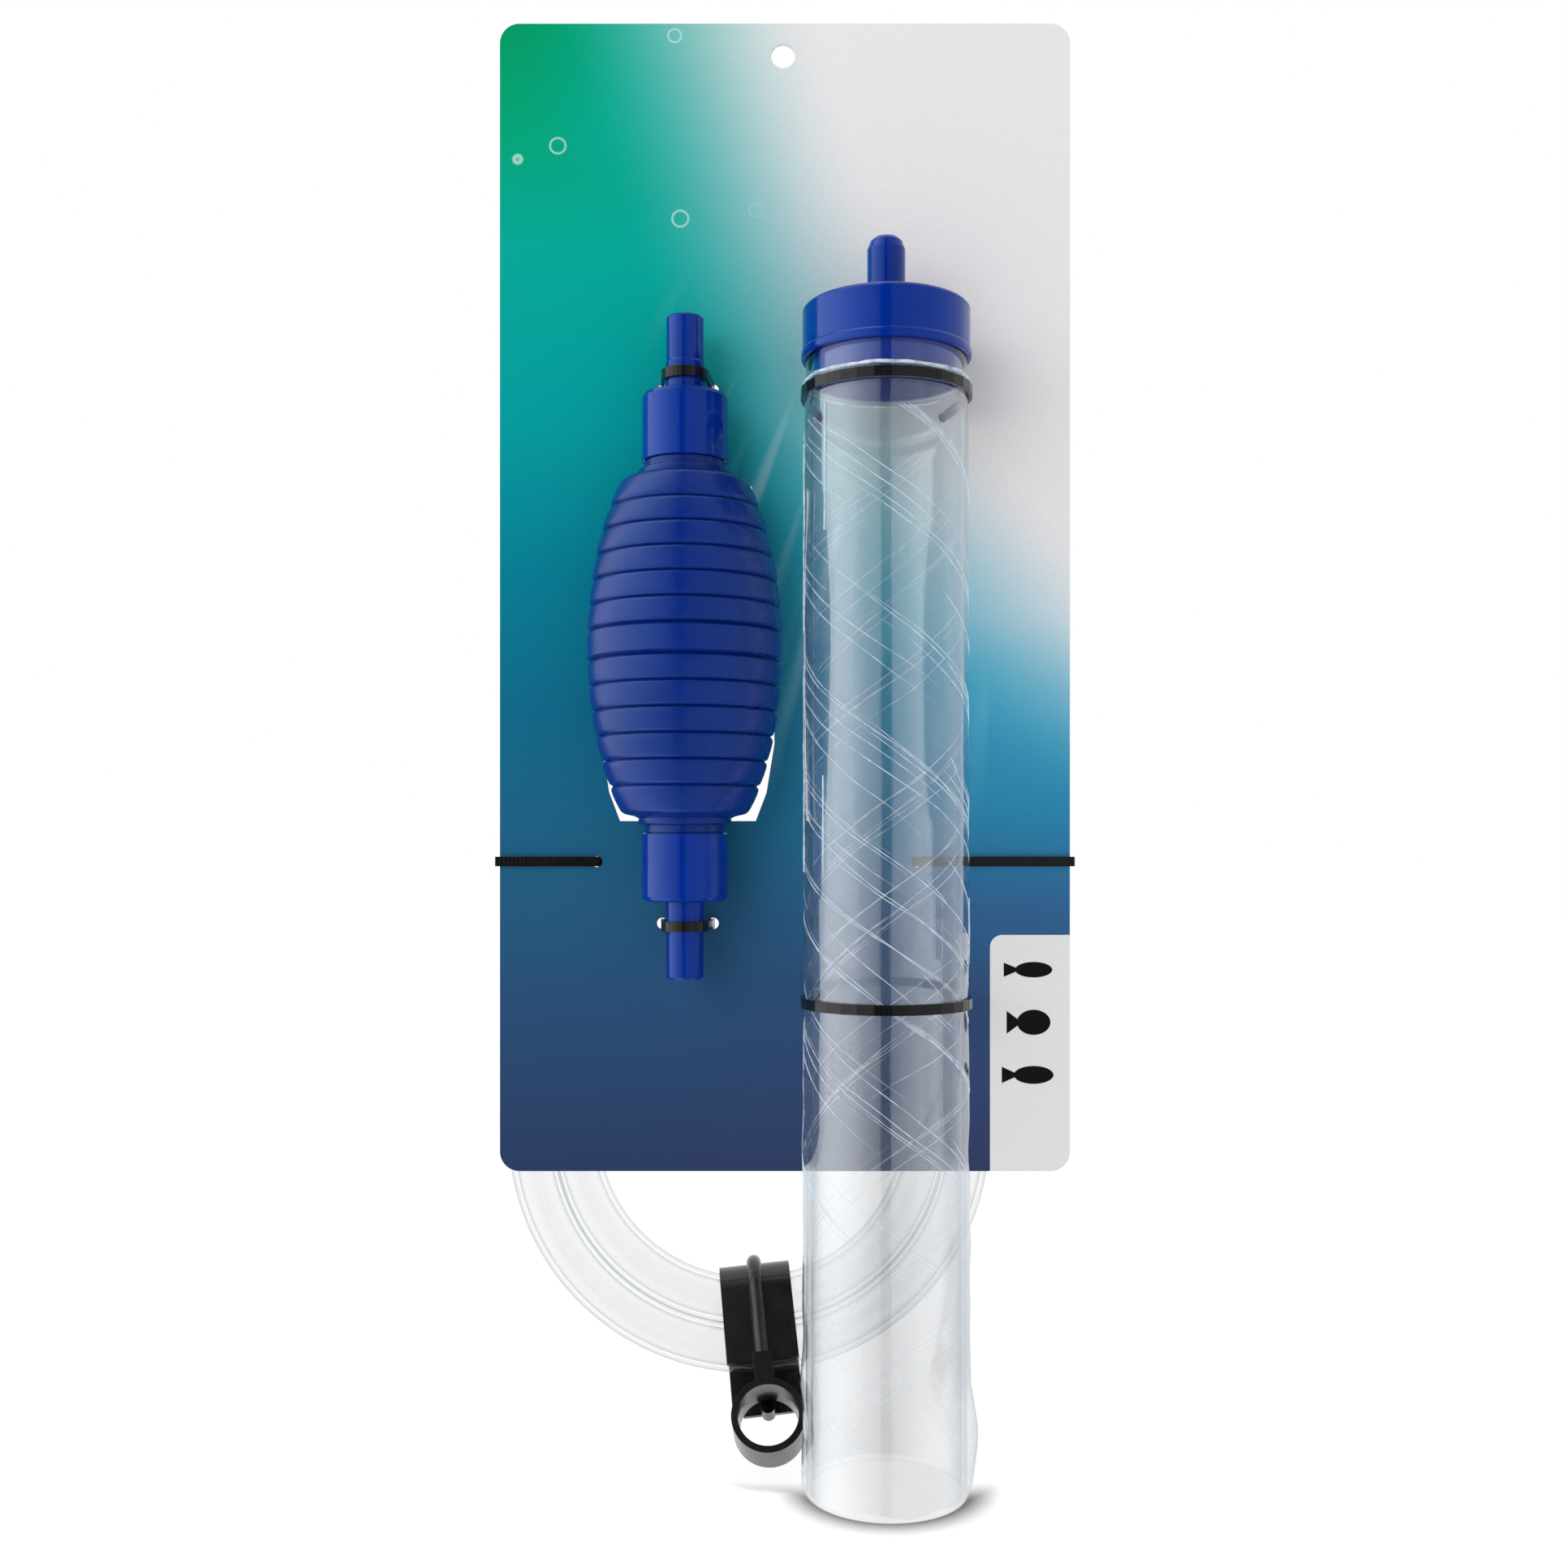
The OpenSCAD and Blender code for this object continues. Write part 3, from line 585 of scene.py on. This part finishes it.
def crease_line(angle, height, length, slope):
    """A crease that winds down round the sleeve, thin at both ends and slightly unsteady."""
    line = []
    steps = max(6, int(length / (2 * MM)))
    wander = random.uniform(0, 50)
    for step in range(steps + 1):
        share = step / steps
        run = share * length
        wobble = 0.8 * MM * noise.noise(Vector((wander, run * 60, 0)))
        at_angle = angle + run * math.cos(slope) / tube_r
        at_height = height - run * math.sin(slope) + wobble
        if not 8 * MM < at_height < film_height - 12 * MM:
            continue
        unsteady = 0.7 + 0.3 * noise.noise(Vector((wander, run * 300, 5)))
        taper = min(1.0, 5 * share, 5 * (1 - share)) * unsteady
        line.append((on_film(at_angle, at_height, 0.0), max(0.15, taper)))
    return line


creases = []
turn = 2 * math.pi
helix_count = 64
golden_share = (math.sqrt(5) - 1) / 2
for index in range(helix_count):
    length = random.uniform(80, 190) * MM
    slope = math.radians(random.gauss(36, 1.5))
    start = turn * (golden_share * index + random.uniform(-0.08, 0.08))
    height = film_height * (0.15 + 1.0 * (index + random.random()) / helix_count)
    creases.append(crease_line(start, height, length, slope))
    if random.random() < 0.25:
        beside = height + random.uniform(-4, 3) * MM
        creases.append(crease_line(start + 0.3, beside, 0.6 * length, slope + 0.03))
short_count = 14
for index in range(short_count):
    start = random.uniform(-0.42, -0.18) * math.pi
    height = random.uniform(60, 325) * MM
    length = random.uniform(12, 40) * MM
    slope = math.radians(random.gauss(40, 5))
    creases.append(crease_line(start, height, length, slope))

# upright creases, as (angle in half turns, lowest and highest point in mm)
upright_creases = [
    (1.01, 195, 331), (1.21, 195, 228), (1.22, 300, 342), (-0.03, 166, 188), (0.97, 90, 150),
]
for angle, low, high in upright_creases:
    line = []
    for height in range(low, high, 3):
        thick = 1.3 + 0.6 * noise.noise(Vector((angle, height / 9, 0)))
        line.append((on_film(angle * math.pi, height * MM, 0.05), thick))
    creases.append(line)
creases = [line for line in creases if len(line) > 3]
add_piece("film_creases", curve_data("film_creases", creases, 0.2 * MM), film_crease)

roll = []
roll_steps = 180
for step in range(roll_steps):
    angle = turn * step / roll_steps
    lift = 0.5 * noise.noise(Vector((3 * math.cos(angle), 3 * math.sin(angle), 2)))
    thick = 1 + 0.45 * noise.noise(Vector((7 * math.cos(angle), 7 * math.sin(angle), 5)))
    roll.append((on_film(angle, film_height + 0.2 * MM, 0.25) + Vector((0, 0, lift * MM)), thick))
rolled_edge = curve_data("film_rolled_edge", [roll], 0.6 * MM, True)
add_piece("film_rolled_edge", rolled_edge, film_roll)


# ---- studio ----

def plain_floor():
    """A pale floor that glows white and fades to white. Its glow carries a painted contact shadow from
    ambient occlusion, only in front of whatever stands on it, and a flat painted faint shade inside the open
    tube."""
    radius = 4.0
    contact_reach = 12 * MM
    mesh = bpy.data.meshes.new("floor")
    shape = bmesh.new()
    bmesh.ops.create_circle(shape, cap_ends=True, radius=radius, segments=96)
    shape.to_mesh(mesh)
    shape.free()
    floor = bpy.data.objects.new("floor", mesh)
    floor.location.z = cad_bounds[0].z - 0.2 * MM
    bpy.context.scene.collection.objects.link(floor)
    shader = material_shader("floor")
    away = shader.add("VectorMath", {0: shader.place}, operation="LENGTH").outputs["Value"]
    speckle = shader.remap(shader.noise(300, 4), 0.3, 0.7, 0.92, 0.96)
    matt = shader.add("BsdfDiffuse", {"Color": speckle}).outputs[0]
    # painted contact shadow: ambient occlusion darkens the floor's glow, kept off the floor behind the tube;
    # inside the tube a flat painted faint shade takes its place
    floor_occlusion = shader.add("AmbientOcclusion", {"Distance": contact_reach}, samples=16).outputs["AO"]
    within = shader.remap(away, tube_r + 0.5 * MM, tube_r - 0.5 * MM)
    behind = shader.remap(shader.split(shader.place)[1], -12 * MM, 8 * MM, way="SMOOTHSTEP")
    painted_contact_shadow = shader.math("MAXIMUM", shader.remap(floor_occlusion, 0.5, 0.93, 0.05, 1.0), behind)
    painted_shadow_and_tube_shade = shader.remap(within, 0.0, 1.0, painted_contact_shadow, 0.9)
    white = shader.add("Emission", {"Color": painted_shadow_and_tube_shade, "Strength": 1.06}).outputs[0]
    own_light = shader.remap(away, 0.1, 0.6, 0.86, 1.0)
    floor.data.materials.append(shader.finish(shader.blend_shaders(own_light, matt, white)))
    floor.visible_glossy = False


light_target = Vector((-0.03, 0, 0.22))


def fill_light(name, location, width, height, radiance):
    """A large soft lamp aimed at the object, which lights it but isn't mirrored in it."""
    data = bpy.data.lights.new(name, "AREA")
    data.shape = "RECTANGLE"
    data.size = width
    data.size_y = height
    data.energy = radiance * math.pi * width * height
    lamp = bpy.data.objects.new(name, data)
    lamp.location = location
    lamp.rotation_mode = "QUATERNION"
    lamp.rotation_quaternion = (Vector(location) - light_target).to_track_quat("Z", "Y")
    lamp.visible_camera = False
    lamp.visible_glossy = False
    bpy.context.scene.collection.objects.link(lamp)


def studio_world(ring):
    """White where the camera looks past the object, and a ring of soft panels for light and reflections.
    The ring lists (degrees right of the camera side, radiance), and the panels dim below their foot."""
    shader = Shader(bpy.data.worlds.new("studio"))
    x, y, z = shader.split(shader.direction)
    bearing = shader.math("ARCTAN2", x, shader.math("MULTIPLY", y, -1.0))
    share = shader.remap(bearing, -math.pi, math.pi)
    brightest = max(radiance for _, radiance in ring)
    stops = [(0.5 + angle / 360, grey(radiance / brightest)) for angle, radiance in ring]
    panels = shader.ramp(share, stops)
    foot_low = math.sin(math.radians(-18))
    foot_high = math.sin(math.radians(-9))
    foot = shader.remap(z, foot_low, foot_high, 0.82, 1.0, way="SMOOTHSTEP")
    strength = shader.math("MULTIPLY", foot, brightest)
    light = shader.add("Background", {"Color": panels, "Strength": strength}).outputs[0]
    white = shader.add("Background", {"Color": grey(1.0), "Strength": 1.0}).outputs[0]
    is_camera = shader.add("LightPath").outputs["Is Camera Ray"]
    bpy.context.scene.world = shader.finish(shader.blend_shaders(is_camera, light, white), "OutputWorld")


plain_floor()
studio_world([
    (-180, 1.0), (-150, 0.95), (-125, 0.8), (-104, 1.6), (-78, 1.75), (-60, 1.45), (-38, 0.85),
    (-11.5, 0.32), (-11, 0.02), (3.5, 0.02), (4, 0.34),
    (20, 0.38), (50, 0.55), (52, 0.45), (87, 0.7), (115, 0.75), (140, 0.9), (180, 1.0),
])
fill_light("front_fill", (-0.75, -1.15, 0.6), 0.9, 0.9, 2.3)
fill_light("back_fill", (0.3, 1.3, 0.6), 1.2, 1.2, 0.6)

camera_data = bpy.data.cameras.new("camera")
camera_data.sensor_width = 36
camera_data.lens = 37.27
camera_data.shift_y = 0.036
camera_data.clip_start = 0.01
camera = bpy.data.objects.new("camera", camera_data)
camera.location = (-0.0323, -0.513, 0.205)
camera.rotation_euler = (math.radians(90), 0, 0)
bpy.context.scene.collection.objects.link(camera)
bpy.context.scene.camera = camera

bpy.context.scene.view_settings.view_transform = "Standard"
bpy.context.scene.cycles.transparent_max_bounces = 48
